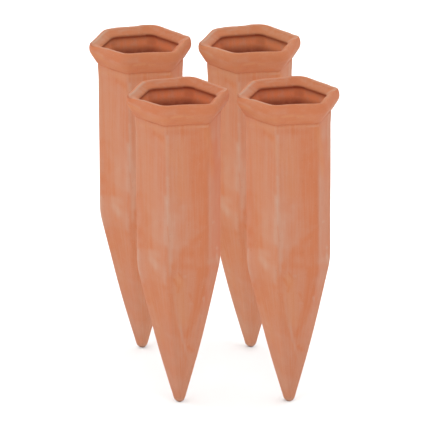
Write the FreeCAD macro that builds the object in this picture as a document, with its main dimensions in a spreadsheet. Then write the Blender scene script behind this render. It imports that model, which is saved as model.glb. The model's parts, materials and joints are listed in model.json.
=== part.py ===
"""A set of four hollow hexagonal watering spikes, cast in unglazed clay.

Each spike is one casting: a blunt point, a six-sided taper, a hexagonal body with
soft corners, and a flared collar whose top is dished in towards the mouth. A bottle
stands upside down in the mouth, and the point goes in the soil.

The frame is in millimetres. Z is up, the points rest at height zero, and the origin
is midway between the four spikes. The front pair stands on the -Y side.
"""
import FreeCAD, Part
import os

# Driving sizes: alias, value in millimetres or degrees, what it is
SIZES = (
    ("spike_height", 185.0, "point to crest of the lip"),
    ("bend_flats", 42.6, "body across its flats, where the taper starts"),
    ("body_draft", 0.3, "lean of each body face, degrees"),
    ("taper_angle", 12.85, "lean of each taper face from end to end, degrees"),
    ("taper_bulge", 0.5, "how far the taper's faces swell between their ends"),
    ("bend_radius", 48.0, "large round from body to taper"),
    ("tip_radius", 3.3, "blunt round of the point"),
    ("edge_radius", 3.0, "soft upright corners of the body"),
    ("collar_height", 13.5, "groove under the collar to crest of the lip"),
    ("swell", 0.4, "the body grows by this much under the collar"),
    ("swell_height", 8.0, "height over which it grows"),
    ("groove_depth", 0.4, "fine groove where the collar meets the body"),
    ("groove_height", 0.9, "height of that groove"),
    ("lip_flats", 53.6, "lip across its flats, at its widest"),
    ("lip_corner_radius", 7.0, "soft upright corners of the lip"),
    ("lip_round", 1.9, "the lip's round, measured inwards"),
    ("lip_drop", 4.0, "the lip's round, measured down from the crest"),
    ("crest_width", 0.8, "flat left on the crest"),
    ("dish_depth", 4.0, "crest down to the mouth's edge"),
    ("mouth_flats", 40.2, "mouth across its flats, at its edge"),
    ("mouth_corner_radius", 6.0, "soft upright corners of the mouth"),
    ("mouth_edge_height", 0.8, "upright band of the mouth's edge"),
    ("undercut", 1.1, "the hollow steps back this far under that band"),
    ("undercut_height", 1.5, "height of the step"),
    ("socket_height", 12.1, "the hollow narrows to the body over this height"),
    ("wall", 4.0, "clay thickness of body and taper"),
    ("bore_corner_radius", 2.0, "soft upright corners of the hollow"),
    ("bore_tip_radius", 2.2, "round bottom of the hollow"),
    ("overrun", 2.0, "how far the hollow's cutter stands out of the mouth"),
    ("pair_pitch", 62.4, "axis to axis within a pair"),
    ("row_pitch", 104.0, "front pair to back pair"),
    ("row_shift", 21.5, "the back pair lies this far to the left"),
    ("spike_turn", 13.0, "each spike's turn about its own axis, degrees"),
)

# Name, side in its pair (-1 left, 1 right) and row (-1 front, 1 back)
SPIKES = (
    ("spike_front_left", -1, -1),
    ("spike_front_right", 1, -1),
    ("spike_back_left", -1, 1),
    ("spike_back_right", 1, 1),
)

FACES = 6
# Where the levels of each round lie, as shares of its whole turn
BEND_SHARES = (0.0, 0.25, 0.5, 0.75, 1.0)
TIP_SHARES = (0.8, 0.55, 0.3, 0.0)
LIP_SHARES = (0.0, 0.2, 0.4, 0.6, 0.8, 1.0)
# The lip's round starts this many degrees under its widest level
LIP_START = 45.0
# A level's soft corners never take more than this share of its half width
CORNER_SHARE = 0.75
# The last flat of a point, as a share of the point's radius
TIP_FLAT_SHARE = 0.2


def make_sheet(doc):
    """The sheet of driving sizes, one row each, with its alias."""
    sheet = doc.addObject("Spreadsheet::Sheet", "Sizes")
    for row, (alias, value, note) in enumerate(SIZES, 1):
        sheet.set(f"A{row}", note)
        sheet.set(f"B{row}", str(value))
        sheet.setAlias(f"B{row}", alias)
    doc.recompute()


def names(*aliases):
    """How formulas name the driving sizes."""
    return [f"Sizes.{alias}" for alias in aliases]


def level(doc, name, height, half_width, corner):
    """One level of a form: a hexagon grown outwards by its corner radius.

    The height, the half width across the flats and the corner are formulas.
    """
    corner = f"min({corner}; {CORNER_SHARE} * ({half_width}))"
    core = doc.addObject("Part::RegularPolygon", f"{name}_core")
    core.Polygon = FACES
    core.setExpression("Circumradius", f"({half_width} - {corner}) / cos(180 / {FACES})")
    core.setExpression("Placement.Base.z", height)
    outline = doc.addObject("Part::Offset2D", name)
    outline.Source = core
    outline.setExpression("Value", corner)
    return outline


def skin(doc, name, levels, smooth=False):
    """A solid through its levels: one smooth round, or straight from each to the next."""
    form = doc.addObject("Part::Loft", name)
    form.Sections = levels
    form.Solid = True
    form.Ruled = not smooth
    return form


def fuse(doc, name, forms):
    whole = doc.addObject("Part::MultiFuse", name)
    whole.Shapes = forms
    return whole


def bend_formulas():
    """Where body face and taper face would meet, and the centre of their round."""
    flats, draft, taper, round_, tip = names(
        "bend_flats", "body_draft", "taper_angle", "bend_radius", "tip_radius")
    meet_half = f"{flats} / 2"
    meet_height = (f"({tip} * (1 - sin({taper}))"
                   f" + ({meet_half} - {tip} * cos({taper})) / tan({taper}))")
    reach = f"{round_} / cos(({taper} - {draft}) / 2)"
    centre_half = f"({meet_half} - {reach} * cos(({taper} + {draft}) / 2))"
    centre_height = f"({meet_height} + {reach} * sin(({taper} + {draft}) / 2))"
    return meet_half, meet_height, centre_half, centre_height


def body_half(height):
    """Half width of the body across its flats, at a height above the bend."""
    meet_half, meet_height, _, _ = bend_formulas()
    return f"({meet_half} + ({height} - {meet_height}) * tan({names('body_draft')[0]}))"


def lower_levels(doc, name, inset, tip_radius, bulge, corner):
    """Levels of the point, the taper and the bend, an inset inside the outside.

    The outside has no inset. The hollow's inset is the wall, so its point lies
    higher, where the taper's faces are a point's width apart.
    """
    draft, taper, round_, outer_tip = names(
        "body_draft", "taper_angle", "bend_radius", "tip_radius")
    _, _, centre_half, centre_height = bend_formulas()

    tip_centre = f"({outer_tip} + ({inset} + {tip_radius} - {outer_tip}) / sin({taper}))"
    tip_places = [(f"({tip_centre} - {tip_radius})", f"({TIP_FLAT_SHARE} * {tip_radius})")]
    for share in TIP_SHARES:
        lean = f"({taper} + {share} * (90 - {taper}))"
        tip_places.append((f"({tip_centre} - {tip_radius} * sin({lean}))",
                           f"({tip_radius} * cos({lean}))"))
    bend_places = []
    for share in BEND_SHARES:
        lean = f"({taper} + {share} * ({draft} - {taper}))"
        bend_places.append((f"({centre_height} - ({round_} - {inset}) * sin({lean}))",
                            f"({centre_half} + ({round_} - {inset}) * cos({lean}))"))
    (low, low_half), (high, high_half) = tip_places[-1], bend_places[0]
    middle_place = (f"({low} + {high}) / 2", f"(({low_half} + {high_half}) / 2 + {bulge})")

    tip = [level(doc, f"{name}_tip_{number}", *place, corner)
           for number, place in enumerate(tip_places)]
    middle = level(doc, f"{name}_taper_middle", *middle_place, corner)
    bend = [level(doc, f"{name}_bend_{number}", *place, corner)
            for number, place in enumerate(bend_places)]
    return tip, [tip[-1], middle, bend[0]], bend


def make_outside(doc):
    """The whole outside, solid: point, taper, bend, body, groove, collar and lip."""
    edge, height, collar, swell, swell_height, groove, groove_height = names(
        "edge_radius", "spike_height", "collar_height", "swell", "swell_height",
        "groove_depth", "groove_height")
    lip_flats, lip_corner, lip_round, lip_drop = names(
        "lip_flats", "lip_corner_radius", "lip_round", "lip_drop")
    tip_radius, bulge = names("tip_radius", "taper_bulge")
    tip, taper, bend = lower_levels(doc, "outside", "0", tip_radius, bulge, edge)

    joint = f"({height} - {collar})"
    joint_half = f"({body_half(joint)} + {swell})"
    swell_start = f"({joint} - {swell_height})"
    body = [
        level(doc, "swell_start", swell_start, body_half(swell_start), edge),
        level(doc, "groove_below", f"{joint} - {groove_height} / 2", joint_half, edge),
        level(doc, "groove_floor", joint, f"{joint_half} - {groove}", edge),
        level(doc, "groove_above", f"{joint} + {groove_height} / 2", joint_half, edge),
    ]
    lip = []
    for number, share in enumerate(LIP_SHARES):
        turn = f"({share} * (90 + {LIP_START}) - {LIP_START})"
        lip.append(level(doc, f"lip_{number}",
                         f"{height} - {lip_drop} * (1 - sin({turn}))",
                         f"{lip_flats} / 2 - {lip_round} * (1 - cos({turn}))", lip_corner))
    return fuse(doc, "outside", [
        skin(doc, "point", tip, smooth=True),
        skin(doc, "taper", taper, smooth=True),
        skin(doc, "bend", bend, smooth=True),
        skin(doc, "body_and_collar", [bend[-1]] + body + [lip[0]]),
        skin(doc, "lip", lip, smooth=True),
    ])


def make_hollow(doc):
    """What is open inside: bore, socket, mouth and the dish above it."""
    corner, wall, height, overrun = names("bore_corner_radius", "wall", "spike_height", "overrun")
    dish, flats, mouth_corner, edge_height, step, step_height, socket = names(
        "dish_depth", "mouth_flats", "mouth_corner_radius", "mouth_edge_height", "undercut",
        "undercut_height", "socket_height")
    lip_flats, lip_corner, lip_round, crest = names(
        "lip_flats", "lip_corner_radius", "lip_round", "crest_width")
    tip_radius, bulge = names("bore_tip_radius", "taper_bulge")
    tip, taper, bend = lower_levels(doc, "hollow", wall, tip_radius, bulge, corner)

    mouth = f"({height} - {dish})"
    step_top = f"({mouth} - {edge_height})"
    socket_top = f"({step_top} - {step_height})"
    socket_floor = f"({socket_top} - {socket})"
    dish_half = f"{lip_flats} / 2 - {lip_round} - {crest}"
    dish_corner = f"({lip_corner} - {crest})"
    upper = [
        level(doc, "socket_floor", socket_floor, f"{body_half(socket_floor)} - {wall}", corner),
        level(doc, "socket_top", socket_top, f"{flats} / 2 + {step}", mouth_corner),
        level(doc, "mouth_under", step_top, f"{flats} / 2", mouth_corner),
        level(doc, "mouth", mouth, f"{flats} / 2", mouth_corner),
        level(doc, "dish", height, dish_half, dish_corner),
        level(doc, "clear_of_dish", f"{height} + {overrun}", dish_half, dish_corner),
    ]
    return fuse(doc, "hollow", [
        skin(doc, "bore_point", tip, smooth=True),
        skin(doc, "bore_taper", taper, smooth=True),
        skin(doc, "bore_bend", bend, smooth=True),
        skin(doc, "bore_and_mouth", [bend[-1]] + upper),
    ])


def make_casting(doc):
    """The clay form that all four spikes are cast to, upright on the frame's axis."""
    casting = doc.addObject("Part::Cut", "casting")
    casting.Base = make_outside(doc)
    casting.Tool = make_hollow(doc)
    doc.recompute()
    return casting


def make_spike(doc, casting, name, side, row):
    """One spike of the set: the casting, turned and stood in its place."""
    pitch, row_pitch, shift, turn = names("pair_pitch", "row_pitch", "row_shift", "spike_turn")
    spike = doc.addObject("PartDesign::Body", name)
    spike.Label = name
    spike.BaseFeature = casting
    spike.setExpression("Placement.Base.x", f"({side} * {pitch} - ({row}) * {shift}) / 2")
    spike.setExpression("Placement.Base.y", f"{row} * {row_pitch} / 2")
    spike.setExpression("Placement.Rotation.Angle", turn)
    return spike


def check(doc, spikes):
    """Stop before anything is written if a feature or a spike has failed."""
    for feature in doc.Objects:
        if {"Invalid", "Error"} & set(feature.State):
            raise RuntimeError(f"{feature.Name} has failed: {feature.State}")
    for spike in spikes:
        if spike.Shape.isNull() or not spike.Shape.isValid() or len(spike.Shape.Solids) != 1:
            raise RuntimeError(f"{spike.Label} isn't one valid solid")


doc = FreeCAD.newDocument("WateringSpikes")
make_sheet(doc)
casting = make_casting(doc)
spikes = [make_spike(doc, casting, *place) for place in SPIKES]
doc.recompute()
check(doc, spikes)

os.makedirs("parts", exist_ok=True)
for spike in spikes:
    spike.Shape.exportStep(f"parts/{spike.Label}.step")
    box = spike.Shape.BoundBox
    print(f"{spike.Label}: {spike.Shape.Volume:.0f} mm3,"
          f" x {box.XMin:.1f} to {box.XMax:.1f}, y {box.YMin:.1f} to {box.YMax:.1f},"
          f" z {box.ZMin:.1f} to {box.ZMax:.1f}")
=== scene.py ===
# %% [markdown]
# # Four clay watering spikes
#
# The object is a set of four hollow spikes of unglazed clay. A bottle stands upside
# down in the flared collar, the point goes in the soil, and water seeps out through
# the wall. Each spike is one slip-cast piece, so each is one piece here too.
#
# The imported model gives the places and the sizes. It is loaded first and is never
# moved. What it doesn't have is the surface: clay that was wiped while it was damp,
# fired, and left with a thin pale film of lime.

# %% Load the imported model
import json
import math

import bmesh
import bpy
import numpy as np
from mathutils import Matrix, Vector, noise


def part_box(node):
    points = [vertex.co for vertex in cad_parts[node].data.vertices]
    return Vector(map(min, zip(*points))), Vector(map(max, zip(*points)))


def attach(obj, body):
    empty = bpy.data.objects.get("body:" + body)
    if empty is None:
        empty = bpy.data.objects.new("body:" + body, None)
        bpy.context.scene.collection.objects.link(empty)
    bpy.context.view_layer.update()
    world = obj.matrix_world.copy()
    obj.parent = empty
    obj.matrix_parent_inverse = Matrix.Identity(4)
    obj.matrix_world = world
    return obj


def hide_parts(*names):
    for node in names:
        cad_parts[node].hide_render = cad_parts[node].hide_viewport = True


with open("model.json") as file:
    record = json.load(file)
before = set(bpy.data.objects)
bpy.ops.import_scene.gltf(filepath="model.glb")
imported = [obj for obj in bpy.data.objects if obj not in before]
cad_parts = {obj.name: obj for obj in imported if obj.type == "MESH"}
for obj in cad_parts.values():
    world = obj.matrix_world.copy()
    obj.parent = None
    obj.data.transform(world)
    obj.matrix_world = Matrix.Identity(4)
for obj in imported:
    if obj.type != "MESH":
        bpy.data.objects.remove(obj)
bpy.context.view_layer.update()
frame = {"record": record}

MM = 0.001
BODIES = frame["record"]["behaviour"]["bodies"]
BODY_OF = {node: body for body, nodes in BODIES.items() for node in nodes}
NODES = sorted(BODY_OF)
print("spikes:", NODES)

# %% [markdown]
# ## The camera
#
# The photograph was taken from slightly above, with a very long lens: the spikes at
# the back are as large as those in front. A camera could be placed by eye until it
# looks right. Here it is worked out instead: a pixel is this many millimetres wide at
# the middle of the set, and the set's origin lies at a known place in the picture. The
# lens is as long as it can be with the set still in view when it is seen from behind
# with its spikes pulled up.

# %% Camera
PICTURE_PIXELS = 430
PIXEL_MM = 0.5715
ORIGIN_PIXEL = (215.4, 373.5)
CAMERA_ELEVATION = math.radians(17.0)
CAMERA_ROLL = math.radians(0.3)
CAMERA_LENS = 1700.0
CAMERA_SENSOR = 36.0
CLIP_END = 60.0


def make_camera():
    """The camera, turned about its own axis by a roll, aimed so that the origin lies at its pixel."""
    data = bpy.data.cameras.new("camera")
    data.sensor_width = CAMERA_SENSOR
    data.lens = CAMERA_LENS
    data.clip_end = CLIP_END
    camera = bpy.data.objects.new("camera", data)
    bpy.context.scene.collection.objects.link(camera)
    back = Vector((0, -math.cos(CAMERA_ELEVATION), math.sin(CAMERA_ELEVATION)))
    turn = (-back).to_track_quat("-Z", "Y").to_matrix() @ Matrix.Rotation(-CAMERA_ROLL, 3, "Z")
    right, up = turn.col[0], turn.col[1]
    middle = PICTURE_PIXELS / 2
    pixel = PIXEL_MM * MM
    aim = right * (middle - ORIGIN_PIXEL[0]) * pixel - up * (middle - ORIGIN_PIXEL[1]) * pixel
    distance = PICTURE_PIXELS * pixel * CAMERA_LENS / CAMERA_SENSOR
    camera.matrix_world = Matrix.Translation(aim + back * distance) @ turn.to_4x4()
    bpy.context.scene.camera = camera
    print(f"camera {distance:.2f} m away, aimed at {aim.z / MM:.0f} mm up")
    return camera


make_camera()

# %% [markdown]
# ## The sizes of one spike
#
# A clay form like this is thought of as a stack of six-sided levels. Each level has a
# height, a half width across its flats and a corner radius. These are the maker's
# sizes, in millimetres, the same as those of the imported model.

# %% Sizes, in millimetres and degrees
HEIGHT = (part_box(NODES[0])[1].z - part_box(NODES[0])[0].z) / MM
SPIKE_TURN = 13.0
FACES = 6
BEND_HALF = 21.3
BODY_DRAFT = math.radians(0.3)
TAPER_ANGLE = math.radians(12.85)
TAPER_BULGE = 0.5
BEND_RADIUS = 48.0
TIP_RADIUS = 3.3
EDGE_RADIUS = 3.0
COLLAR_HEIGHT = 13.5
SWELL = 0.4
SWELL_HEIGHT = 8.0
LIP_HALF = 26.8
LIP_CORNER = 7.0
LIP_ROUND = 1.9
LIP_DROP = 4.0
LIP_START = math.radians(-45.0)
CREST_WIDTH = 0.8
DISH_DEPTH = 4.0
MOUTH_HALF = 20.1
MOUTH_CORNER = 6.0
MOUTH_EDGE_HEIGHT = 0.8
UNDERCUT = 1.1
UNDERCUT_HEIGHT = 1.5
SOCKET_HEIGHT = 12.1
WALL = 4.0
BORE_CORNER = 2.0
BORE_TIP_RADIUS = 2.2

# %% [markdown]
# ## The levels
#
# The profile could be drawn by hand, point by point. It is written as runs instead,
# because the maker's sizes then stay in one place: the blunt point is an arc, the
# taper swells a little between its ends, a large round joins it to the body, and the
# lip is half an ellipse. The hollow is the same taper and bend, a wall further in.

# %% Levels of the outside and the hollow
COARSE_STEP = 1.0
FINE_STEP = 0.5
HOLLOW_STEP = 2.0
ARC_STEPS = 8
TIP_SHARE = 0.2
CORNER_SHARE = 0.75
MEET_HEIGHT = (TIP_RADIUS * (1 - math.sin(TAPER_ANGLE))
               + (BEND_HALF - TIP_RADIUS * math.cos(TAPER_ANGLE)) / math.tan(TAPER_ANGLE))
JOINT_HEIGHT = HEIGHT - COLLAR_HEIGHT
MOUTH_HEIGHT = HEIGHT - DISH_DEPTH


def body_half(height):
    """Half width of the body across its flats."""
    return BEND_HALF + (height - MEET_HEIGHT) * math.tan(BODY_DRAFT)


def run(start, end, step, swell=0.0):
    """Levels from one level to another, evenly spaced, without the first."""
    length = math.dist(start[:2], end[:2])
    count = max(1, round(length / step))
    levels = []
    for number in range(1, count + 1):
        share = number / count
        height, half, corner = (a + (b - a) * share for a, b in zip(start, end))
        levels.append((height, half + swell * 4 * share * (1 - share), corner))
    return levels


def point_and_taper(inset, tip_radius, corner, step):
    """Levels from the point up to where the body starts, an inset inside the outside."""
    tip_centre = TIP_RADIUS + (inset + tip_radius - TIP_RADIUS) / math.sin(TAPER_ANGLE)
    levels = [(tip_centre - tip_radius, TIP_SHARE * tip_radius, corner)]
    for number in range(1, ARC_STEPS + 1):
        low = math.acos(TIP_SHARE)
        lean = low + (TAPER_ANGLE - low) * number / ARC_STEPS
        levels.append((tip_centre - tip_radius * math.sin(lean), tip_radius * math.cos(lean), corner))
    reach = BEND_RADIUS / math.cos((TAPER_ANGLE - BODY_DRAFT) / 2)
    middle_lean = (TAPER_ANGLE + BODY_DRAFT) / 2
    centre_half = BEND_HALF - reach * math.cos(middle_lean)
    centre_height = MEET_HEIGHT + reach * math.sin(middle_lean)
    bend = []
    for number in range(ARC_STEPS + 1):
        lean = TAPER_ANGLE + (BODY_DRAFT - TAPER_ANGLE) * number / ARC_STEPS
        bend.append((centre_height - (BEND_RADIUS - inset) * math.sin(lean),
                     centre_half + (BEND_RADIUS - inset) * math.cos(lean), corner))
    levels += run(levels[-1], bend[0], step, TAPER_BULGE)
    for before, after in zip(bend, bend[1:]):
        levels += run(before, after, step)
    return levels


def outside_levels():
    """Levels from the point to the crest of the lip."""
    levels = point_and_taper(0.0, TIP_RADIUS, EDGE_RADIUS, COARSE_STEP)
    swell_start = JOINT_HEIGHT - SWELL_HEIGHT
    joint_half = body_half(JOINT_HEIGHT) + SWELL
    levels += run(levels[-1], (swell_start, body_half(swell_start), EDGE_RADIUS), COARSE_STEP)
    levels += run(levels[-1], (JOINT_HEIGHT, joint_half, EDGE_RADIUS), FINE_STEP)
    lip = []
    for number in range(2 * ARC_STEPS + 1):
        turn = LIP_START + (math.pi / 2 - LIP_START) * number / (2 * ARC_STEPS)
        lip.append((HEIGHT - LIP_DROP * (1 - math.sin(turn)),
                    LIP_HALF - LIP_ROUND * (1 - math.cos(turn)), LIP_CORNER))
    levels += run(levels[-1], lip[0], FINE_STEP)
    return levels + lip[1:]


def hollow_levels():
    """Levels from the crest down over the dish and the mouth to the bottom of the hollow."""
    step_top = MOUTH_HEIGHT - MOUTH_EDGE_HEIGHT
    socket_top = step_top - UNDERCUT_HEIGHT
    socket_floor = socket_top - SOCKET_HEIGHT
    levels = [(HEIGHT, LIP_HALF - LIP_ROUND - CREST_WIDTH, LIP_CORNER - CREST_WIDTH)]
    for place, step in (
            ((MOUTH_HEIGHT, MOUTH_HALF, MOUTH_CORNER), FINE_STEP),
            ((step_top, MOUTH_HALF, MOUTH_CORNER), FINE_STEP),
            ((socket_top, MOUTH_HALF + UNDERCUT, MOUTH_CORNER), FINE_STEP),
            ((socket_floor, body_half(socket_floor) - WALL, BORE_CORNER), COARSE_STEP)):
        levels += run(levels[-1], place, step)
    bore = point_and_taper(WALL, BORE_TIP_RADIUS, BORE_CORNER, HOLLOW_STEP)[::-1]
    return levels + run(levels[-1], bore[0], HOLLOW_STEP) + bore[1:]


def soften(levels, passes):
    """Round every edge of the profile a little, as wet clay rounds.

    In each pass every level moves towards its neighbours.
    """
    for _ in range(passes):
        inner = [tuple((a + 2 * b + c) / 4 for a, b, c in zip(*three))
                 for three in zip(levels, levels[1:], levels[2:])]
        levels = [levels[0]] + inner + [levels[-1]]
    return levels


SOFT_PASSES = 2
outside = outside_levels()
LEVELS = soften(outside + hollow_levels(), SOFT_PASSES)
OUTSIDE_COUNT = len(outside)
print(len(LEVELS), "levels,", OUTSIDE_COUNT, "of them outside")

# %% [markdown]
# ## The casting
#
# The clay skin is grown as it would be drawn on paper: a closed ring at the point, and
# from it ring after ring, up the outside, over the lip and down the hollow. Extruding
# the ring's edges makes the faces, and each new ring is then set to its level. A stack
# of lofted boxes would be quicker, but it has no points along the faces, and the wiped
# clay needs them for its streaks.

# %% Ring points
CORNER_STEPS = 12
FLAT_STEPS = 24
FACE_STEPS = CORNER_STEPS + FLAT_STEPS
RING_STEPS = FACES * FACE_STEPS
FACE_ANGLE = 2 * math.pi / FACES


def corner_point(corner_number, share, half, corner):
    """A point on the round of one corner: share 0 is its start and 1 its end."""
    centre = (half - corner) / math.cos(FACE_ANGLE / 2)
    at = corner_number * FACE_ANGLE
    lean = at + (share - 0.5) * FACE_ANGLE
    return Vector((centre * math.cos(at) + corner * math.cos(lean),
                   centre * math.sin(at) + corner * math.sin(lean)))


def ring_point(number, half, corner):
    """A point of a level: number counts round the ring from the start of the first corner."""
    corner = min(corner, CORNER_SHARE * half)
    face, step = divmod(number, FACE_STEPS)
    if step <= CORNER_STEPS:
        return corner_point(face, step / CORNER_STEPS, half, corner)
    share = (step - CORNER_STEPS) / FLAT_STEPS
    return corner_point(face, 1.0, half, corner).lerp(corner_point(face + 1, 0.0, half, corner), share)


# %% Grow the skin
def grow_casting():
    """The closed skin of one spike in millimetres, upright on its own axis."""
    form = bmesh.new()
    ring_layer = form.verts.layers.int.new("ring_number")
    level_layer = form.verts.layers.int.new("level_number")
    bmesh.ops.create_circle(form, cap_ends=True, cap_tris=True, segments=RING_STEPS, radius=1.0)
    pole = max(form.verts, key=lambda vert: len(vert.link_edges))
    pole.co = (0, 0, 0)
    ring = [edge for edge in form.edges if pole not in edge.verts]
    loop = {vert for edge in ring for vert in edge.verts}
    rim = sorted(loop, key=lambda vert: math.atan2(vert.co.y, vert.co.x))
    for number, vert in enumerate(rim):
        vert[ring_layer] = number
    for level_number, (height, half, corner) in enumerate(LEVELS):
        if level_number:
            grown = bmesh.ops.extrude_edge_only(form, edges=ring)["geom"]
            rim = [part for part in grown if isinstance(part, bmesh.types.BMVert)]
            fresh = set(rim)
            edges = [part for part in grown if isinstance(part, bmesh.types.BMEdge)]
            ring = [edge for edge in edges if fresh.issuperset(edge.verts)]
        for vert in rim:
            vert[level_layer] = level_number
            vert.co = (*ring_point(vert[ring_layer], half, corner), height)
    floor = bmesh.ops.contextual_create(form, geom=ring)["faces"]
    bmesh.ops.poke(form, faces=floor)
    bmesh.ops.recalc_face_normals(form, faces=form.faces)
    for face in form.faces:
        face.smooth = True
    return form


form = grow_casting()
casting = bpy.data.meshes.new("casting")
form.to_mesh(casting)
form.free()
print(len(casting.vertices), "points,", len(casting.polygons), "faces")

# %% [markdown]
# ## Where a point lies on the clay
#
# Marks on a pot are placed by going round it and up it. Each point of the skin gets
# such an address: how far round it lies in degrees, corners at every sixth of a turn,
# how high it is, and how far it lies past the crest if it is inside. A second address,
# the flow, is where the same ring point lies on the body. Streaks drawn in the flow
# run together towards the point, as the wiping hand did. On the collar and the lip the
# hand went round instead, so there the flow is squeezed sideways and stretched upwards.

# %% Addresses of the points
CORNER_DEGREES = 8.0
BODY_LEVEL = 120.0


def around_degrees(number):
    """How far round a ring point lies: a corner's round takes a few degrees, and its face the rest."""
    face, step = divmod(number, FACE_STEPS)
    start = face * math.degrees(FACE_ANGLE)
    if step <= CORNER_STEPS:
        return start + (step / CORNER_STEPS - 0.5) * CORNER_DEGREES
    flat = math.degrees(FACE_ANGLE) - CORNER_DEGREES
    return start + CORNER_DEGREES / 2 + (step - CORNER_STEPS) / FLAT_STEPS * flat


def read_numbers(mesh, name):
    """A whole number kept on each point of a mesh."""
    values = np.zeros(len(mesh.vertices), int)
    mesh.attributes[name].data.foreach_get("value", values)
    return values


ring_number = read_numbers(casting, "ring_number")
level_number = read_numbers(casting, "level_number")
level_sizes = np.array(LEVELS)
steps = np.linalg.norm(np.diff(level_sizes[:, :2], axis=0), axis=1)
level_rise = np.concatenate([[0.0], np.cumsum(steps)])

around = np.array([around_degrees(number) for number in range(RING_STEPS)])[ring_number]
height = level_sizes[level_number, 0]
half = level_sizes[level_number, 1]
past_crest = level_rise[level_number] - level_rise[OUTSIDE_COUNT]
inside = level_number > OUTSIDE_COUNT
degree_mm = 2 * BEND_HALF * math.tan(FACE_ANGLE / 2) * FACES / 360 * half / BEND_HALF
body_points = [ring_point(number, body_half(BODY_LEVEL), EDGE_RADIUS) for number in range(RING_STEPS)]
body_ring = np.array(body_points)
place = np.column_stack([body_ring[ring_number], np.where(inside, 2 * HEIGHT - height, height)])
ROUND_FLOW = (0.12, 0.12, 9.0)
ROUND_PAST_CREST = 6.0
wiped_round = (height > JOINT_HEIGHT) & (past_crest < ROUND_PAST_CREST)
flow = np.where(wiped_round[:, None], place * ROUND_FLOW, place)
print(f"a degree round the body is {degree_mm.max():.2f} mm at most")

# %% Strokes
BRUSH_HARDNESS = 2.3
NO_LENGTH = 1e-9


def smooth(value):
    """A soft step from 0 to 1."""
    value = np.clip(value, 0.0, 1.0)
    return value * value * (3 - 2 * value)


def near_path(path, width, rise=None):
    """How near each point is to a path of (around, height) places.

    It is 1 on the path and falls off at the path's half width.
    """
    rise = height if rise is None else rise
    nearest = np.full(len(rise), np.inf)
    for (turn_a, rise_a), (turn_b, rise_b) in zip(path, path[1:]):
        across = ((around - turn_a + 180) % 360 - 180) * degree_mm
        up = rise - rise_a
        run_across = (turn_b - turn_a) * degree_mm
        run_up = rise_b - rise_a
        run_square = run_across ** 2 + run_up ** 2 + NO_LENGTH
        share = np.clip((across * run_across + up * run_up) / run_square, 0, 1)
        nearest = np.minimum(nearest, np.hypot(across - share * run_across, up - share * run_up))
    return np.exp(-(nearest / width) ** BRUSH_HARDNESS)


def paint(start, strokes, rise=None):
    """A value at each point after a set of strokes, each laid over what is there."""
    cover = np.zeros(len(height)) + start
    for begin, end, width, value, strength in strokes:
        weight = strength * near_path((begin, end), width, rise)
        cover += (value - cover) * weight
    return cover


def field(points, size, seed=0.0):
    """Soft noise, about -1 to 1, over rows of places, with lumps of this size along each axis."""
    scaled = points / np.array(size) + seed
    return np.array([noise.noise(place) for place in scaled])


# %% [markdown]
# ## Relief
#
# A pulled, wiped and fettled clay wall is never flat. The relief is pushed into the
# points themselves, along their normals, so that it also shows in the outline and in
# the exported mesh: a slow wave, the drag of the wiping hand, the fine groove under
# the collar, the scraper's ridge across the taper, the taper's fuller middle, a rough
# spot where slip stuck to the mould, and the nicks along the lip. The rim has also sunk
# before firing, its crest is worn lower in places, and two of its corners are drawn out.

# %% Relief in the skin
WAVE = 0.16
WAVE_SIZE = (16.0, 16.0, 34.0)
DRAG = 0.045
DRAG_SIZE = (1.5, 1.5, 46.0)
DRAG_SEED = 7.0
DRAG_INSIDE = 0.35
DRAG_ON_COLLAR = 0.25
DRAG_FADE = 3.0
GROOVE_DEPTH = 0.45
GROOVE_WIDTH = 0.5
GROOVE_LEAST = 0.75
GROOVE_CHANGE = 0.35
GROOVE_CHANGE_SIZE = (9.0, 9.0, 9.0)
GROOVE_SEED = 3.0
RIDGE = 0.22
RIDGE_WIDTH = 1.1
RIDGE_PATH = ((243, 84), (250, 62), (257, 50), (265, 40), (275, 33.6), (285, 29), (300, 23))
SEAM = 0.07
SEAM_WIDTH = 0.7
SEAM_TURNS = (242, 62)
SEAM_START = 20
FULLNESS = 0.28
FULL_HEIGHT = 34.0
FULL_REACH = 24.0
SPOT_PLACE = ((252, 82), (264, 79))
SPOT_WIDTH = 2.4
SPOT = 0.36
SPOT_SIZE = (1.2, 1.2, 0.8)
SPOT_LIFT = 0.3
SPOT_SEED = 5.0
NICK = 0.16
NICK_SIZE = (2.2, 2.2, 2.2)
NICK_WIDTH = 2.2
NICK_SEED = 9.0

groove_line = np.exp(-((height - JOINT_HEIGHT) / GROOVE_WIDTH) ** 2)


def relief():
    """Height of the relief at each point, in millimetres."""
    wave = WAVE * field(place, WAVE_SIZE)
    on_body = smooth((JOINT_HEIGHT - height) / DRAG_FADE)
    outside_drag = on_body * (1 - DRAG_ON_COLLAR) + DRAG_ON_COLLAR
    drag = DRAG * np.where(inside, DRAG_INSIDE, outside_drag) * field(flow, DRAG_SIZE, DRAG_SEED)
    worn = GROOVE_LEAST + GROOVE_CHANGE * field(place, GROOVE_CHANGE_SIZE, GROOVE_SEED)
    groove = -GROOVE_DEPTH * groove_line * worn
    ridge = RIDGE * near_path(RIDGE_PATH, RIDGE_WIDTH)
    fullness = FULLNESS * np.exp(-((height - FULL_HEIGHT) / FULL_REACH) ** 2)
    seams = [((turn, SEAM_START), (turn, JOINT_HEIGHT)) for turn in SEAM_TURNS]
    seam = sum(SEAM * near_path(path, SEAM_WIDTH) for path in seams)
    spot = SPOT * near_path(SPOT_PLACE, SPOT_WIDTH) * (SPOT_LIFT + field(place, SPOT_SIZE, SPOT_SEED))
    lip_line = np.exp(-(past_crest / NICK_WIDTH) ** 2)
    nick = -NICK * lip_line * np.maximum(0, field(place, NICK_SIZE, NICK_SEED))
    return wave + drag + nick + np.where(inside, 0, groove + ridge + fullness + seam + spot)


# %% Sag of the rim
SAG_RIGHT = 1.0
SAG_FRONT = 1.5
SAG_START = 150.0


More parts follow.
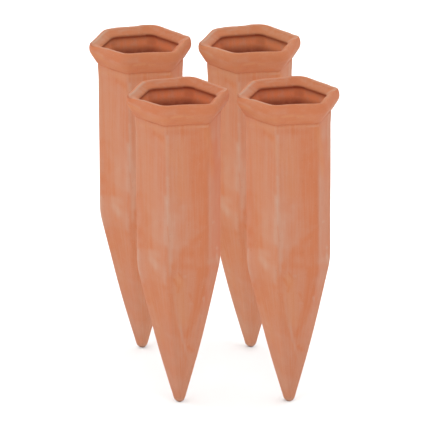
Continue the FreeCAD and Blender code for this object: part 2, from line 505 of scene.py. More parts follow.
def sag(places):
    """How far the soft rim had sunk before firing: to the right and in front."""
    turn = math.radians(SPIKE_TURN)
    right = places[:, 0] * math.cos(turn) - places[:, 1] * math.sin(turn)
    front = -places[:, 0] * math.sin(turn) - places[:, 1] * math.cos(turn)
    high = smooth((places[:, 2] - SAG_START) / (HEIGHT - SAG_START))
    return -high * (SAG_RIGHT * smooth(right / LIP_HALF) + SAG_FRONT * smooth(front / MOUTH_HALF))


# %% Worn crest and drawn corners
CREST_DROPS = (
    # around, millimetres past the crest, half width, how far down in millimetres, strength
    ((196, 0.0), (190, 0.0), 3.4, 0.7, 1.0),
    ((184, 0.0), (150, 0.0), 3.6, 1.2, 1.0),
    ((142, 0.0), (116, 0.0), 3.6, 0.9, 1.0),
    ((108, 0.0), (84, 0.0), 3.6, 0.5, 1.0),
    ((6, 0.0), (-4, 0.0), 3.4, 0.4, 1.0),
)
CORNER_PULLS = (
    # around, millimetres past the crest, half width, how far outwards in millimetres, strength
    ((180, 0.6), (180, -0.4), 1.9, 1.1, 1.0),
    ((0, 0.6), (0, -0.4), 1.8, 0.7, 1.0),
)

LEAST_REACH = 1.0


def read_rows(name):
    """The places or the normals of the casting's points, one row for each."""
    rows = np.zeros(len(casting.vertices) * 3)
    casting.vertices.foreach_get(name, rows)
    return rows.reshape(-1, 3)


skin = read_rows("co")
skin += read_rows("normal") * relief()[:, None]
skin[:, 2] += sag(skin) - paint(0.0, CREST_DROPS, past_crest)
reach = np.linalg.norm(skin[:, :2], axis=1)
outwards = skin[:, :2] / np.maximum(reach, LEAST_REACH)[:, None]
skin[:, :2] += outwards * paint(0.0, CORNER_PULLS, past_crest)[:, None]
skin[:, 2] = np.maximum(skin[:, 2], 0.0)
casting.vertices.foreach_set("co", skin.ravel())
casting.update()
print(f"relief set, rim sags to {sag(skin).min():.1f} mm")

# %% [markdown]
# ## Paint
#
# The fired clay is a strong orange. Where it was wiped and later stood wet, lime has
# left a thin pale film, and that film is nearly all of the colour one sees: thick
# along worn corners and in patches, thin on the collar, absent in the hollow. The film
# is painted on the points as a coverage from 0 to 1, with broad washes first and
# single strokes over them. A picture could be projected instead, but it would only
# fit one view. Some of the strokes are partly painted light: highlights along the
# crest, the mouth's front edge, the scraper's ridge and the top of the swell under the
# groove, and lighter clay under the point and on the right face under the collar. A
# second mask paints shade: under the mouth's edge, deeper in the hollow, down its
# corners and in the groove.

# %% Film of lime, with some painted light
FILM_START = 0.27
COLLAR_START = 0.05
FILM_AND_HIGHLIGHT_STROKES = (
    # around and height where it starts and ends, half width, coverage there, strength
    # left face: washes, the bare hole, the bright patches, the wiped lower part
    ((200, 158), (206, 124), 9.0, 0.33, 0.8),
    ((206, 166), (238, 165), 2.2, 0.22, 0.7),
    ((221, 165), (234, 163.5), 2.0, 0.02, 0.9),
    ((216, 117), (217, 104), 3.4, 0.52, 0.85),
    ((229, 120), (231, 102), 3.6, 0.42, 0.8),
    ((190, 103), (202, 98), 3.8, 0.02, 1.0),
    ((188, 124), (200, 112), 4.0, 0.14, 0.85),
    ((202, 126), (207, 121), 2.4, 0.24, 0.8),
    ((202, 96), (208, 93), 2.0, 0.24, 0.8),
    ((202, 108), (207, 96), 2.6, 0.14, 0.8),
    ((188, 95.5), (210, 96), 1.8, 0.04, 0.85),
    ((222, 86), (238, 83), 3.4, 0.48, 0.8),
    ((209, 93), (224, 93), 2.2, 0.58, 0.8),
    ((211, 89), (219, 86), 2.8, 0.74, 0.9),
    ((236, 86), (236, 76), 1.4, 0.58, 0.8),
    ((196, 74), (236, 74), 2.4, 0.16, 0.85),
    ((190, 68), (214, 68), 4.5, 0.09, 0.85),
    ((186, 62), (196, 63), 2.6, 0.06, 0.8),
    ((216, 58), (232, 60), 5.0, 0.15, 0.8),
    ((196, 52), (236, 36), 6.0, 0.29, 0.7),
    ((196, 48), (203, 47.5), 1.2, 0.48, 0.7),
    ((186, 44), (200, 43.5), 1.2, 0.42, 0.6),
    ((228, 44), (234, 43), 1.5, 0.42, 0.6),
    ((192, 31), (210, 34), 0.9, 0.24, 0.6),
    ((184, 92), (182.5, 78), 1.0, 0.78, 0.9),
    ((187, 90), (185, 74), 1.6, 0.50, 0.8),
    ((182, 162), (182, 128), 1.4, 0.44, 0.8),
    ((190, 167), (198, 167), 1.4, 0.42, 0.85),
    # front face: from the worn corner to the bare right edge
    ((251, 160), (252, 120), 2.6, 0.27, 0.8),
    ((262, 160), (262, 120), 3.0, 0.20, 0.8),
    ((271, 160), (271, 115), 2.4, 0.16, 0.8),
    ((280, 165), (281, 115), 2.4, 0.13, 0.85),
    ((287, 165), (288, 112), 2.2, 0.10, 0.85),
    ((295, 168), (296, 112), 2.6, 0.02, 0.95),
    ((246, 167.5), (268, 167), 2.2, 0.14, 0.6),
    ((264, 167), (294, 166), 2.0, 0.06, 0.7),
    ((254, 117), (255, 99), 2.8, 0.46, 0.85),
    ((264, 122), (264, 99), 1.6, 0.40, 0.8),
    ((268, 112), (268, 103), 1.6, 0.34, 0.7),
    ((274, 112), (273, 104), 1.2, 0.36, 0.8),
    ((283, 110), (288, 108.5), 1.4, 0.12, 0.8),
    ((272, 95), (290, 93), 3.4, 0.02, 0.9),
    ((300, 107.5), (280, 101), 1.9, 0.03, 0.95),
    ((280, 100), (262, 93.5), 1.7, 0.12, 0.95),
    ((262, 91), (251, 87), 2.2, 0.13, 0.9),
    ((260, 87), (276, 86), 2.4, 0.06, 0.85),
    ((283, 97), (281, 86), 1.0, 0.14, 0.8),
    ((279, 88), (282, 84), 1.2, 0.18, 0.7),
    ((296, 104), (296, 66), 2.8, 0.0, 1.0),
    ((288, 84), (288, 64), 2.2, 0.02, 0.95),
    ((290, 64), (281, 50), 2.2, 0.0, 0.95),
    ((297, 64), (288, 52), 1.8, 0.06, 0.9),
    ((281, 50), (274, 43), 1.6, 0.06, 0.9),
    ((289, 51), (280, 45), 1.8, 0.0, 0.85),
    # the lens between the bare bands, and the ridge under it
    ((258, 66), (262, 54), 2.4, 0.31, 0.9),
    ((270, 68), (272, 50), 2.8, 0.22, 0.85),
    ((275, 82), (276, 74), 1.4, 0.24, 0.8),
    ((266, 78), (270, 76), 1.8, 0.20, 0.8),
    ((245, 80), (246, 70), 2.0, 0.16, 0.9),
    ((244, 69), (247, 60), 1.6, 0.10, 0.95),
    ((245, 57), (250, 47), 2.2, 0.10, 0.95),
    ((244, 46), (254, 44), 1.8, 0.13, 0.9),
    ((256, 45), (266, 39), 1.5, 0.15, 0.85),
    ((251, 79), (255, 75), 0.9, 0.0, 0.9),
    ((256, 71), (260, 76), 0.8, 0.0, 0.9),
    ((257, 83), (262, 80), 0.6, 0.06, 0.9),
    ((262, 81), (268, 80.6), 0.4, 0.48, 0.9),
    ((276, 69), (280, 66), 0.9, 0.08, 0.9),
    ((274, 63), (282, 63), 0.5, 0.34, 0.8),
    # the next six: a pale line along the scraper's ridge, film on it and partly a painted highlight on its
    # crest
    ((250, 68), (253, 60), 0.9, 0.32, 0.8),
    ((253, 60), (258, 49.5), 1.0, 0.40, 0.85),
    ((258, 49.5), (266, 40.4), 1.0, 0.47, 0.95),
    ((266, 40.4), (274, 34), 0.9, 0.50, 0.95),
    ((274, 34), (284, 29.4), 0.9, 0.46, 0.95),
    ((284, 29.4), (299, 23.2), 0.9, 0.36, 0.9),
    ((286, 45), (298, 42), 2.0, 0.13, 0.8),
    ((286, 35.5), (297, 33), 1.3, 0.06, 0.85),
    ((262, 37), (280, 28), 1.4, 0.16, 0.7),
    ((252, 24), (292, 17), 5.0, 0.23, 0.8),
    ((252, 9), (292, 8), 5.0, 0.32, 0.8),
    # a pale band round the underside of the point: film, and painted light against the shade under the
    # point
    ((182, 1.0), (358, 1.0), 1.6, 0.62, 0.9),
    ((192, 17), (236, 12), 5.0, 0.46, 0.85),
    ((190, 30), (236, 26), 3.0, 0.36, 0.7),
    # the worn corner between the two
    ((243, 165), (243, 140), 0.9, 0.55, 0.95),
    ((242.6, 140), (243.5, 122), 0.9, 0.66, 0.95),
    ((241, 128), (242, 112), 1.6, 0.70, 0.9),
    ((236.5, 117), (238, 104), 1.6, 0.54, 0.8),
    ((240, 114), (240.5, 101), 1.5, 0.66, 0.9),
    ((243.5, 123), (244.4, 100), 1.8, 0.60, 0.9),
    ((242.0, 126), (243.0, 103), 0.6, 0.84, 0.9),
    ((245.2, 118), (246.2, 97), 0.6, 0.78, 0.9),
    ((248, 113), (248, 99), 1.6, 0.60, 0.85),
    ((242.2, 111), (244.6, 94), 0.35, 0.34, 0.9),
    ((245, 101), (246, 90), 1.1, 0.64, 0.9),
    ((245.2, 91), (245.4, 84), 0.55, 0.56, 0.9),
    ((241.2, 92), (242, 82), 0.5, 0.28, 0.9),
    # right face
    ((303, 168), (314, 152), 3.8, 0.0, 0.95),
    ((312, 150), (340, 150), 5.0, 0.22, 0.85),
    ((303, 149), (322, 144), 3.4, 0.06, 0.9),
    # the next two: film on the strip under the collar, raised as painted light against the shade there
    ((322, 161), (346, 161), 4.5, 0.48, 0.85),
    ((346, 170), (351, 146), 2.6, 0.56, 0.9),
    ((308, 137), (308, 92), 2.8, 0.50, 0.95),
    ((318, 134), (325, 130), 3.0, 0.40, 0.8),
    ((326, 125), (328, 95), 4.5, 0.38, 0.9),
    ((342, 130), (346, 98), 4.5, 0.32, 0.8),
    ((305, 88), (334, 85), 2.2, 0.56, 0.8),
    ((304, 77), (316, 74), 3.0, 0.36, 0.8),
    ((322, 78), (346, 74), 3.4, 0.46, 0.85),
    ((309, 68), (322, 60), 2.4, 0.0, 0.95),
    ((316, 60), (340, 58), 2.0, 0.22, 0.7),
    ((310, 45), (340, 40), 5.0, 0.30, 0.7),
    ((320, 109.3), (329, 108.6), 0.8, 0.66, 0.9),
    ((340, 87), (350, 82), 1.8, 0.74, 0.95),
    ((337, 92), (346, 91), 0.9, 0.68, 0.9),
    ((320, 73), (330, 71), 0.8, 0.40, 0.8),
    ((300.5, 66), (305, 63), 0.9, 0.52, 0.95),
    ((335, 66), (345, 65), 0.9, 0.46, 0.8),
    ((302, 55), (316, 52), 0.9, 0.44, 0.8),
    # under the groove, a pale line that is partly a painted highlight on the top of the swell, and the
    # collar
    ((200, 169.2), (292, 170.4), 0.4, 0.34, 0.8),
    ((284, 170.0), (300, 170.0), 0.5, 0.70, 0.9),
    ((205, 175), (238, 176), 3.4, 0.12, 0.9),
    ((250, 174.5), (304, 175), 5.0, 0.07, 1.0),
    ((310, 176), (356, 176), 5.0, 0.40, 0.9),
    ((184, 177), (200, 177), 2.4, 0.02, 0.85),
    ((184, 181), (204, 180.5), 1.0, 0.34, 0.8),
    ((220, 178.6), (238, 178.2), 1.2, 0.26, 0.8),
    ((238, 180.6), (254, 180.6), 1.6, 0.24, 0.8),
    ((256, 181), (296, 181), 1.6, 0.03, 0.9),
    ((268, 176.4), (284, 176.8), 0.9, 0.14, 0.8),
    # the hidden back, in the same hand
    ((30, 160), (34, 100), 7.0, 0.30, 0.7),
    ((62, 166), (62, 90), 1.2, 0.62, 0.9),
    ((70, 118), (74, 96), 3.5, 0.54, 0.7),
    ((96, 150), (100, 60), 6.0, 0.24, 0.7),
    ((120, 165), (121, 92), 1.0, 0.52, 0.8),
    ((150, 112), (160, 92), 4.5, 0.56, 0.7),
    ((140, 80), (150, 50), 5.0, 0.26, 0.7),
    ((20, 86), (40, 60), 5.0, 0.22, 0.7),
    ((2, 160), (1, 95), 1.0, 0.52, 0.8),
    ((10, 175), (170, 175), 4.0, 0.15, 0.8),
)
GROOVE_FILM = 0.04


film_and_highlight = paint(np.where(height > JOINT_HEIGHT, COLLAR_START, FILM_START), FILM_AND_HIGHLIGHT_STROKES)
film_and_highlight += (GROOVE_FILM - film_and_highlight) * groove_line

# %% Film on the rim and in the hollow, with painted highlights on the crest and the mouth's edge
CREST_FILM_AND_HIGHLIGHT_STROKES = (
    # around, millimetres past the crest, half width, coverage, strength
    ((150, 2.2), (196, 2.8), 1.8, 0.42, 0.8),
    ((118, 3.5), (150, 2.4), 1.2, 0.22, 0.6),
    ((96, 1.4), (110, 2.6), 1.0, 0.30, 0.9),
    ((84, 2.2), (92, 2.0), 0.8, 0.20, 0.8),
    ((20, 1.6), (32, 3.0), 1.0, 0.24, 0.8),
    # a pale line along the front-left crest: worn film, and partly a painted highlight where the edge
    # catches the light
    ((182, -1.0), (238, -1.0), 0.45, 0.88, 0.95),
    ((184, -1.9), (238, -1.9), 0.40, 0.00, 0.8),
    ((240, -1.0), (300, -0.9), 0.35, 0.34, 0.8),
    ((122, 0.2), (178, 0.2), 0.8, 0.85, 0.9),
    ((62, 0.15), (118, 0.15), 0.5, 0.55, 0.8),
    ((4, 0.1), (44, 0.1), 0.6, 0.66, 0.8),
    ((350, -0.2), (362, -0.2), 0.8, 0.66, 0.9),
    ((0, 0.0), (0, 5.0), 0.6, 0.52, 0.8),
    # the last two: pale lines along the mouth's front edge, partly a painted highlight on that edge
    ((206, 5.6), (246, 5.6), 0.5, 0.50, 0.8),
    ((250, 5.6), (298, 5.6), 0.4, 0.34, 0.7),
)
DISH_FILM = 0.06
DISH_CLOUD = 0.28
DISH_CLOUD_SIZE = (3.5, 3.5, 2.0)
DISH_CLOUD_SEED = 11.0
RIM_REACH = 3.0

dish_start = DISH_FILM + DISH_CLOUD * field(place, DISH_CLOUD_SIZE, DISH_CLOUD_SEED) * inside
rim_film_and_highlight = paint(dish_start, CREST_FILM_AND_HIGHLIGHT_STROKES, past_crest)
rim_share = np.where(inside, 1.0, smooth(1 + past_crest / RIM_REACH))
film_and_highlight = film_and_highlight + (rim_film_and_highlight - film_and_highlight) * rim_share
print(f"film covers {film_and_highlight[~inside].mean():.2f} of the outside and {film_and_highlight[inside].mean():.2f} of the inside")

# %% Ochre with a painted highlight, and painted shade
MOUTH_EDGE_PAST_CREST = 6.2
# painted shade: bands down the hollow's corners, a line under the back of the mouth's edge, and a short
# dark line just outside the crest at the left corner
SHADE_STROKES = (
    # around, millimetres past the crest, half width, painted shade, strength
    ((60, 9.0), (60, 26.0), 2.2, 0.34, 0.9),
    ((64, 7.0), (56, 7.0), 0.9, 0.95, 0.9),
    ((120, 9.0), (121, 26.0), 1.4, 0.20, 0.8),
    ((0, 9.0), (0, 26.0), 1.4, 0.35, 0.8),
    ((178, -1.4), (182, -1.4), 0.9, 0.45, 0.9),
)
# painted shade in the groove under the collar
GROOVE_SHADE = (
    # around and height, half width, painted shade, strength
    ((206, 171.6), (303, 171.6), 0.40, 0.20, 0.9),
    ((306, 171.6), (356, 171.6), 0.45, 0.10, 0.9),
)
EDGE_SHADE = 0.62
EDGE_SHADE_PLACE = 6.6
EDGE_SHADE_REACH = 2.4
EDGE_SHADE_START = 0.6
DEEP_SHADE_START = 11.0
DEEP_SHADE_REACH = 5.5
OCHRE_AND_HIGHLIGHT_STROKES = (
    # around and height, half width, ochre and painted highlight, strength
    # the first two: ochre under the groove, partly a painted highlight on the top of the swell
    ((186, 167.5), (236, 169.2), 1.6, 0.5, 0.8),
    ((204, 169.8), (300, 170.2), 0.9, 0.45, 0.8),
    ((303, 166), (318, 140), 4.0, 0.5, 0.8),
    ((183, 178), (200, 178.5), 2.2, 0.6, 0.8),
    ((204, 175), (240, 176), 3.0, 0.5, 0.8),
    ((260, 175), (290, 176), 3.0, 0.35, 0.7),
    ((248, 178), (262, 178.6), 0.9, 0.8, 0.8),
    ((268, 178), (276, 177.6), 0.8, 0.7, 0.8),
    ((258, 76), (266, 52), 3.6, 0.4, 0.8),
    ((256, 80), (262, 76), 1.8, 0.5, 0.8),
    ((196, 66), (204, 40), 4.0, 0.4, 0.6),
    ((226, 168), (250, 150), 3.0, 0.35, 0.6),
    ((195, 160), (222, 60), 9.0, 0.25, 0.7),
    ((262, 160), (262, 130), 4.0, 0.30, 0.6),
)
ochre_and_highlight = np.where(inside, 0.0, paint(0.0, OCHRE_AND_HIGHLIGHT_STROKES))
under_edge = EDGE_SHADE * np.exp(-((past_crest - EDGE_SHADE_PLACE) / EDGE_SHADE_REACH) ** 2)
under_edge *= smooth((past_crest - MOUTH_EDGE_PAST_CREST) / EDGE_SHADE_START)
deep = smooth((past_crest - DEEP_SHADE_START) / DEEP_SHADE_REACH)
# one mask of painted shade: under the mouth's edge, deeper in the hollow, the strokes above and the groove
painted_shade = np.maximum(under_edge, deep)
painted_shade = np.maximum(painted_shade, paint(0.0, SHADE_STROKES, past_crest))
painted_shade = np.maximum(painted_shade, paint(0.0, GROOVE_SHADE))


def keep_number(mesh, name, values):
    """A value for each point, kept on the mesh for the finishes to read."""
    mesh.attributes.new(name, "FLOAT", "POINT").data.foreach_set("value", values.astype(np.float32))


keep_number(casting, "film_and_highlight", np.clip(film_and_highlight, 0, 1))
keep_number(casting, "ochre_and_highlight", np.clip(ochre_and_highlight, 0, 1))
keep_number(casting, "painted_shade", np.clip(painted_shade, 0, 1))
for name, rows in (("flow", flow), ("place", place)):
    kept = casting.attributes.new(name, "FLOAT_VECTOR", "POINT")
    kept.data.foreach_set("vector", rows.astype(np.float32).ravel())
print("painted:", [attribute.name for attribute in casting.attributes])

# %% [markdown]
# ## Shader groups
#
# Two finishes share three effects: the streaks of the wiping hand, the mottling of the
# firing and the grain of the clay. Each could be drawn anew in each material. Each is
# a node group instead, with the sizes as its inputs, so that a finish only says how
# coarse it is. A group puts out a value that changes over the surface, and nothing else.

# %% Node helpers
def new_group(name, inputs, outputs):
    """An empty shader node group with named sockets, and its input and output nodes."""
    tree = bpy.data.node_groups.new(name, "ShaderNodeTree")
    for socket, kind, value in inputs:
        made = tree.interface.new_socket(name=socket, in_out="INPUT", socket_type=kind)
        if value is not None:
            made.default_value = value
    for socket in outputs:
        tree.interface.new_socket(name=socket, in_out="OUTPUT", socket_type="NodeSocketFloat")
    return tree, tree.nodes.new("NodeGroupInput"), tree.nodes.new("NodeGroupOutput")


def add(tree, kind, inputs=None, **settings):
    """A node with its settings, and with its inputs set or linked."""
    node = tree.nodes.new(kind)
    for name, value in settings.items():
        setattr(node, name, value)
    for name, value in (inputs or {}).items():
        if isinstance(value, bpy.types.NodeSocket):
            tree.links.new(value, node.inputs[name])
        else:
            node.inputs[name].default_value = value
    return node


def calculate(tree, operation, *values):
    """The result of a Math node on values or sockets."""
    return add(tree, "ShaderNodeMath", dict(enumerate(values)), operation=operation).outputs[0]


# %% Wiped streaks, grain and mottle
STREAK_ROUGHNESS = 0.55
TOOTH_DETAIL = 5.0
TOOTH_ROUGHNESS = 0.65
SPECK_CORE = 0.05
SPECK_EDGE = 0.16
SPECK_KINDS = (("Dark specks", "LESS_THAN", 0.3), ("Pale specks", "GREATER_THAN", 0.75))
CLOUD = {"Detail": 4.0, "Roughness": 0.6, "Distortion": 0.4}


def streaks_group():
    """Streaks along the flow, about half everywhere, with a size across and a size along in millimetres."""
    tree, given, out = new_group(
        "wiped streaks",
        (("Flow", "NodeSocketVector", None), ("Across", "NodeSocketFloat", 1.0),
         ("Along", "NodeSocketFloat", 40.0), ("Detail", "NodeSocketFloat", 3.0)),
        ("Streaks",))
    parts = add(tree, "ShaderNodeSeparateXYZ", {0: given.outputs["Flow"]})
    shrunk = add(tree, "ShaderNodeCombineXYZ", {
        0: calculate(tree, "DIVIDE", parts.outputs[0], given.outputs["Across"]),
        1: calculate(tree, "DIVIDE", parts.outputs[1], given.outputs["Across"]),
        2: calculate(tree, "DIVIDE", parts.outputs[2], given.outputs["Along"])})
    drawn = add(tree, "ShaderNodeTexNoise", {
        "Vector": shrunk.outputs[0], "Scale": 1.0, "Detail": given.outputs["Detail"],
        "Roughness": STREAK_ROUGHNESS})
    tree.links.new(drawn.outputs["Fac"], out.inputs["Streaks"])
    return tree


def grain_group():
    """The clay's grain: a fine tooth, and sparse specks of a darker or a paler mineral."""
    tree, given, out = new_group(
        "clay grain",
        (("Place", "NodeSocketVector", None), ("Size", "NodeSocketFloat", 0.6),
         ("Speck spacing", "NodeSocketFloat", 3.0)),
        ("Tooth", "Dark specks", "Pale specks"))
    tooth = add(tree, "ShaderNodeTexNoise", {
        "Vector": given.outputs["Place"], "Detail": TOOTH_DETAIL, "Roughness": TOOTH_ROUGHNESS,
        "Scale": calculate(tree, "DIVIDE", 1.0, given.outputs["Size"])})
    specks = add(tree, "ShaderNodeTexVoronoi", {
        "Vector": given.outputs["Place"],
        "Scale": calculate(tree, "DIVIDE", 1.0, given.outputs["Speck spacing"])})
    kind = add(tree, "ShaderNodeSeparateColor", {0: specks.outputs["Color"]})
    close = add(tree, "ShaderNodeMapRange", {
        "Value": specks.outputs["Distance"], "From Min": SPECK_CORE, "From Max": SPECK_EDGE,
        "To Min": 1.0, "To Max": 0.0})
    for name, test, limit in SPECK_KINDS:
        chosen = calculate(tree, test, kind.outputs[0], limit)
        tree.links.new(calculate(tree, "MULTIPLY", close.outputs[0], chosen), out.inputs[name])
    tree.links.new(tooth.outputs["Fac"], out.inputs["Tooth"])
    return tree


def mottle_group():
    """Cloudy firing marks, about half everywhere."""
    tree, given, out = new_group(
        "kiln mottle", (("Place", "NodeSocketVector", None), ("Size", "NodeSocketFloat", 9.0)), ("Mottle",))
    cloud = add(tree, "ShaderNodeTexNoise", {
        "Vector": given.outputs["Place"], **CLOUD,
        "Scale": calculate(tree, "DIVIDE", 1.0, given.outputs["Size"])})
    tree.links.new(cloud.outputs["Fac"], out.inputs["Mottle"])
    return tree


STREAKS = streaks_group()
GRAIN = grain_group()
MOTTLE = mottle_group()
print("groups:", STREAKS.name, GRAIN.name, MOTTLE.name)


# %% [markdown]
# ## The clay
#
# The outside and the dish took the wiping and the lime, and the hollow did not: it is
# the bare drained side of the casting. Both are the same fired body. So both finishes
# mix the strong orange of the clay with the pale film by a coverage, darken it where
# shade is painted, and differ in the sizes they give to the groups. The hollow's bare
# orange is painted lighter and redder than the outside's, to make up for the dimmer
# light inside it.

# %% Clay finishes
def srgb(red, green, blue):
    """A colour as the eye reads it on a screen, 0 to 255, made linear for the shader."""
    def linear(value):
        """One channel by the screen's own curve."""
        value /= 255
        return value / 12.92 if value <= 0.04045 else ((value + 0.055) / 1.055) ** 2.4
    return (linear(red), linear(green), linear(blue), 1.0)


RAW_CLAY = srgb(203, 121, 83)
# the hollow's bare clay, painted lighter and redder than RAW_CLAY to make up for the dimmer light in the
# hollow
LIFTED_HOLLOW_CLAY = srgb(234, 133, 88)
# colour of the lime film, also of the painted highlights and painted light in the film mask
FILM_AND_HIGHLIGHT_COLOUR = srgb(205, 161, 140)
# ochre tone, also the colour of the painted highlight under the groove
OCHRE_AND_HIGHLIGHT_COLOUR = srgb(213, 146, 100)
DARK_SPECK = srgb(150, 84, 56)
# colour of the painted shade
SHADE_COLOUR = srgb(158, 79, 53)
BARE_ROUGHNESS = 0.82
FILM_ROUGHNESS = 0.96
CLAY_SPECULAR = 0.25
FINE_STREAKS = {"Across": 0.9, "Along": 26.0}
BROAD_STREAKS = {"Across": 3.4, "Along": 70.0}
MOTTLE_SIZE = 8.0
SPECK_SPACING = 2.6
TOOTH_SHARE = 0.3
OCHRE_BASE = 0.2
SHADE_BASE = 0.5
DARK_SPECK_SHARE = 0.2
PALE_SPECK_SHARE = 0.3
STREAK_HEIGHT_SHARE = 0.8


def mix_colour(tree, share, below, above):
    """Two colours mixed by a share."""
    node = add(tree, "ShaderNodeMix", {"Factor": share}, data_type="RGBA")
    for socket, value in ((node.inputs[6], below), (node.inputs[7], above)):
        if isinstance(value, bpy.types.NodeSocket):
            tree.links.new(value, socket)
        else:
            socket.default_value = value
    return node.outputs[2]


def clay_finish(name, bare, streak_share, mottle_share, tooth_mm, relief_mm):
    """Fired clay with its film.

    It takes the bare colour, how much streaks and mottle shift the film, and the size and
    height of the tooth.
    """
    material = bpy.data.materials.new(name)
    material.use_nodes = True
    tree = material.node_tree
    principled = tree.nodes["Principled BSDF"]
    flow_at = add(tree, "ShaderNodeAttribute", attribute_name="flow").outputs["Vector"]
    place_at = add(tree, "ShaderNodeAttribute", attribute_name="place").outputs["Vector"]
    film_and_highlight_at = add(tree, "ShaderNodeAttribute", attribute_name="film_and_highlight").outputs["Fac"]
    ochre_and_highlight_at = add(tree, "ShaderNodeAttribute", attribute_name="ochre_and_highlight").outputs["Fac"]
    painted_shade_at = add(tree, "ShaderNodeAttribute", attribute_name="painted_shade").outputs["Fac"]

    def group(shared, **inputs):
        """The outputs of a shared group, with its inputs set or linked."""
        node = add(tree, "ShaderNodeGroup", node_tree=shared)
        for label, value in inputs.items():
            socket = node.inputs[label.replace("_", " ")]
            if isinstance(value, bpy.types.NodeSocket):
                tree.links.new(value, socket)
            else:
                socket.default_value = value
        return node.outputs

    fine = group(STREAKS, Flow=flow_at, **FINE_STREAKS)["Streaks"]
    broad = group(STREAKS, Flow=flow_at, **BROAD_STREAKS)["Streaks"]
    mottle = group(MOTTLE, Place=place_at, Size=MOTTLE_SIZE)["Mottle"]
    grain = group(GRAIN, Place=place_at, Size=tooth_mm, Speck_spacing=SPECK_SPACING)

    def centred(value, share):
        """A share of how far a value lies from its usual half."""
        return calculate(tree, "MULTIPLY", calculate(tree, "SUBTRACT", value, 0.5), share)

    # coverage of the film with its painted light, shifted by streaks, mottle and tooth
    cover = film_and_highlight_at
    for value, share in ((fine, streak_share), (broad, streak_share), (mottle, mottle_share),
                         (grain["Tooth"], TOOTH_SHARE)):
        cover = calculate(tree, "ADD", cover, centred(value, share))
    cover = add(tree, "ShaderNodeClamp", {"Value": cover}).outputs[0]

    colour = mix_colour(tree, cover, bare, FILM_AND_HIGHLIGHT_COLOUR)
    # ochre tone, with the painted highlight under the groove
    warm_and_highlight = calculate(tree, "MULTIPLY", ochre_and_highlight_at, calculate(tree, "ADD", broad, OCHRE_BASE))
    colour = mix_colour(tree, warm_and_highlight, colour, OCHRE_AND_HIGHLIGHT_COLOUR)
    dark = calculate(tree, "MULTIPLY", grain["Dark specks"], DARK_SPECK_SHARE)
    pale = calculate(tree, "MULTIPLY", grain["Pale specks"], PALE_SPECK_SHARE)
    colour = mix_colour(tree, dark, colour, DARK_SPECK)
    colour = mix_colour(tree, pale, colour, FILM_AND_HIGHLIGHT_COLOUR)
    # painted shade, broken up by the mottle
    shaded = calculate(tree, "MULTIPLY", painted_shade_at, calculate(tree, "ADD", mottle, SHADE_BASE))
    colour = mix_colour(tree, shaded, colour, SHADE_COLOUR)
    tree.links.new(colour, principled.inputs["Base Color"])

    rough = add(tree, "ShaderNodeMapRange", {
        "Value": cover, "To Min": BARE_ROUGHNESS, "To Max": FILM_ROUGHNESS})
    tree.links.new(rough.outputs[0], principled.inputs["Roughness"])
    principled.inputs["Specular IOR Level"].default_value = CLAY_SPECULAR

    streak_height = calculate(tree, "MULTIPLY", fine, STREAK_HEIGHT_SHARE)
    tooth = calculate(tree, "ADD", grain["Tooth"], streak_height)
    bump = add(tree, "ShaderNodeBump", {"Height": tooth, "Strength": 1.0, "Distance": relief_mm * MM})
    tree.links.new(bump.outputs[0], principled.inputs["Normal"])
    return material


WASHED_CLAY = clay_finish(
    "washed clay", RAW_CLAY, streak_share=0.42, mottle_share=0.36, tooth_mm=0.55, relief_mm=0.10)
DRAINED_CLAY = clay_finish(
    "drained clay", LIFTED_HOLLOW_CLAY, streak_share=0.16, mottle_share=0.60, tooth_mm=0.80, relief_mm=0.14)
casting.materials.append(WASHED_CLAY)
casting.materials.append(DRAINED_CLAY)
below_mouth = past_crest > MOUTH_EDGE_PAST_CREST
for face in casting.polygons:
    face.material_index = int(below_mouth[list(face.vertices)].all())
print("finishes:", [material.name for material in casting.materials])

# %% [markdown]
# ## Standing the spikes
#
# All four come from one mould, so the one casting is copied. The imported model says
# where each stands. The place goes into the mesh and the object stays at the origin,
# because a piece that is exported or posed is moved from there.

# %% Stand the four spikes in their places
def middle_of(node):
    """The middle of a node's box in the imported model."""
    low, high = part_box(node)
    return (low + high) / 2


def stand(node, mesh):
    """One spike of the set: the casting turned, brought to metres and stood on its node's axis."""
    middle = middle_of(node)
    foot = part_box(node)[0].z
    placed = mesh.copy()
    placed.name = node + "_clay"
    turn = Matrix.Rotation(math.radians(SPIKE_TURN), 4, "Z")
    placed.transform(Matrix.Translation((middle.x, middle.y, foot)) @ Matrix.Scale(MM, 4) @ turn)
    spike = bpy.data.objects.new(node + "_clay", placed)
    bpy.context.scene.collection.objects.link(spike)
    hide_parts(node)
    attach(spike, BODY_OF[node])
    return spike


SPIKES = [stand(node, casting) for node in NODES]
print("standing:", [spike.name for spike in SPIKES])

# %% [markdown]
# ## Light and floor
#
# The photograph has no visible lamp: each spike is lit evenly from all sides, as if it
# stood alone in a tent of white cloth. A white world gives part of that light. It also
# leaves the spikes in each other's shade, which the photograph doesn't show, so the
# rest comes from wide soft suns, one ring of them for each spike, that light and are
# blocked by that spike alone. The clay next door still hides some of the white world
# and throws its own orange light across, so a sun on that side is a little stronger,
# with a little less red in it.

# %% World
SCENE = bpy.context.scene
SCENE.view_settings.view_transform = "Standard"
WORLD_LIGHT = 0.2


def seen_share(tree):
    """1 for rays from the camera, also by way of gloss or glass, and 0 for the rest."""
    path = add(tree, "ShaderNodeLightPath").outputs
    either = calculate(tree, "MAXIMUM", path["Is Camera Ray"], path["Is Glossy Ray"])
    return calculate(tree, "MAXIMUM", either, path["Is Transmission Ray"])


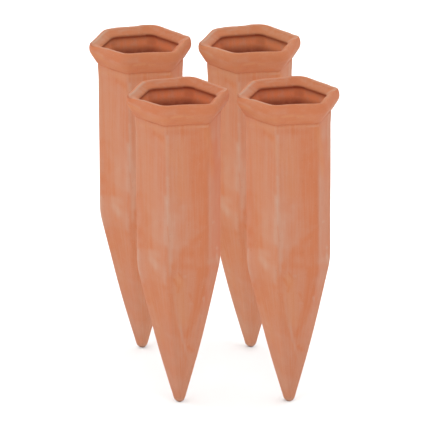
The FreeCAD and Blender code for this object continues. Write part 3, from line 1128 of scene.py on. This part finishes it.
def make_world():
    """The white tent: pure white to the camera, and a fraction of that as light."""
    world = bpy.data.worlds.new("white tent")
    SCENE.world = world
    world.use_nodes = True
    tree = world.node_tree
    background = tree.nodes["Background"]
    background.inputs["Color"].default_value = (1.0, 1.0, 1.0, 1.0)
    strength = add(tree, "ShaderNodeMapRange", {
        "Value": seen_share(tree), "To Min": WORLD_LIGHT, "To Max": 1.0})
    tree.links.new(strength.outputs[0], background.inputs["Strength"])
    return world


make_world()

# %% Suns
SUN_TURNS = (45.0, 135.0, 225.0, 315.0)
SUN_ELEVATION = math.radians(24.0)
TOP_ELEVATION = math.radians(90.0)
SUN_LIGHTS = (0.235, 0.34, 0.34, 0.26)
SUN_SPREAD = math.radians(80.0)
TOP_LIGHT = 0.30
NEIGHBOUR_TINT = 0.19
NEIGHBOUR_GAIN = 0.24
PAIR_GAP = 62.4


def make_sun(name, turn, elevation, spread, light, lit, blockers, red=1.0):
    """A wide soft sun from one side that lights some objects and is blocked by some."""
    data = bpy.data.lights.new(name, "SUN")
    data.energy = light * math.pi
    data.color = (red, 1.0, 1.0)
    data.angle = spread
    lamp = bpy.data.objects.new(name, data)
    SCENE.collection.objects.link(lamp)
    level = math.cos(elevation)
    side = Vector((math.cos(turn) * level, math.sin(turn) * level, math.sin(elevation)))
    lamp.matrix_world = side.to_track_quat("Z", "Y").to_matrix().to_4x4()
    lamp.light_linking.receiver_collection = lit
    lamp.light_linking.blocker_collection = blockers
    return lamp


def linked_only(name, *objects):
    """A collection for light linking."""
    linked = bpy.data.collections.new(name)
    for one in objects:
        linked.objects.link(one)
    return linked


def neighbours_towards(node, turn):
    """How much clay of the other spikes stands on one side of a spike: 1 is one of its own pair."""
    found = 0.0
    for other in NODES:
        if other != node:
            away = (middle_of(other) - middle_of(node)) / MM
            facing = math.cos(math.atan2(away.y, away.x) - turn)
            found += max(0.0, facing) * PAIR_GAP / away.length
    return found


for node, spike in zip(NODES, SPIKES):
    alone = linked_only(spike.name + "_alone", spike)
    for degrees, light in zip(SUN_TURNS, SUN_LIGHTS):
        turn = math.radians(degrees)
        found = neighbours_towards(node, turn)
        light *= 1 + NEIGHBOUR_GAIN * found
        red = 1 - NEIGHBOUR_TINT * found
        make_sun(f"{spike.name}_sun", turn, SUN_ELEVATION, SUN_SPREAD, light, alone, alone, red)
    make_sun(f"{spike.name}_top", 0.0, TOP_ELEVATION, SUN_SPREAD, TOP_LIGHT, alone, alone)

# %% [markdown]
# ## Floor
#
# Under each point the photograph has a small soft shadow, and the rest of the paper is
# pure white. A lamp overhead would draw the whole spike's shadow, a wide grey patch. A
# ring of slanting suns doesn't: each draws a shadow that starts at the point, and only
# there do they all meet. The paper is bright enough that the single ones are lost in it.

# %% Floor
FLOOR_SIZE = 8.0
RING_SUNS = 16
RING_ELEVATION = math.radians(38.0)
RING_SPREAD = math.radians(24.0)
RING_LIGHT = 3.0
PAPER = (0.325, 0.325, 0.325, 1.0)
SEEN_PAPER = (0.45, 0.45, 0.45, 1.0)


def make_floor():
    """White paper. What the camera sees of it is pure white but for the shadows at the points."""
    sheet = bmesh.new()
    bmesh.ops.create_grid(sheet, x_segments=1, y_segments=1, size=FLOOR_SIZE)
    mesh = bpy.data.meshes.new("floor")
    sheet.to_mesh(mesh)
    sheet.free()
    floor = bpy.data.objects.new("floor", mesh)
    SCENE.collection.objects.link(floor)
    paper = bpy.data.materials.new("white paper")
    paper.use_nodes = True
    tree = paper.node_tree
    principled = tree.nodes["Principled BSDF"]
    seen = seen_share(tree)
    tree.links.new(mix_colour(tree, seen, PAPER, SEEN_PAPER), principled.inputs["Base Color"])
    principled.inputs["Roughness"].default_value = 1.0
    principled.inputs["Specular IOR Level"].default_value = 0.0
    mesh.materials.append(paper)
    return floor


FLOOR = make_floor()
paper_only = linked_only("paper_only", FLOOR)
all_spikes = linked_only("all_spikes", *SPIKES)
for number in range(RING_SUNS):
    turn = 2 * math.pi * (number + 0.5) / RING_SUNS
    light = RING_LIGHT / RING_SUNS / math.sin(RING_ELEVATION)
    make_sun("paper_sun", turn, RING_ELEVATION, RING_SPREAD, light, paper_only, all_spikes)
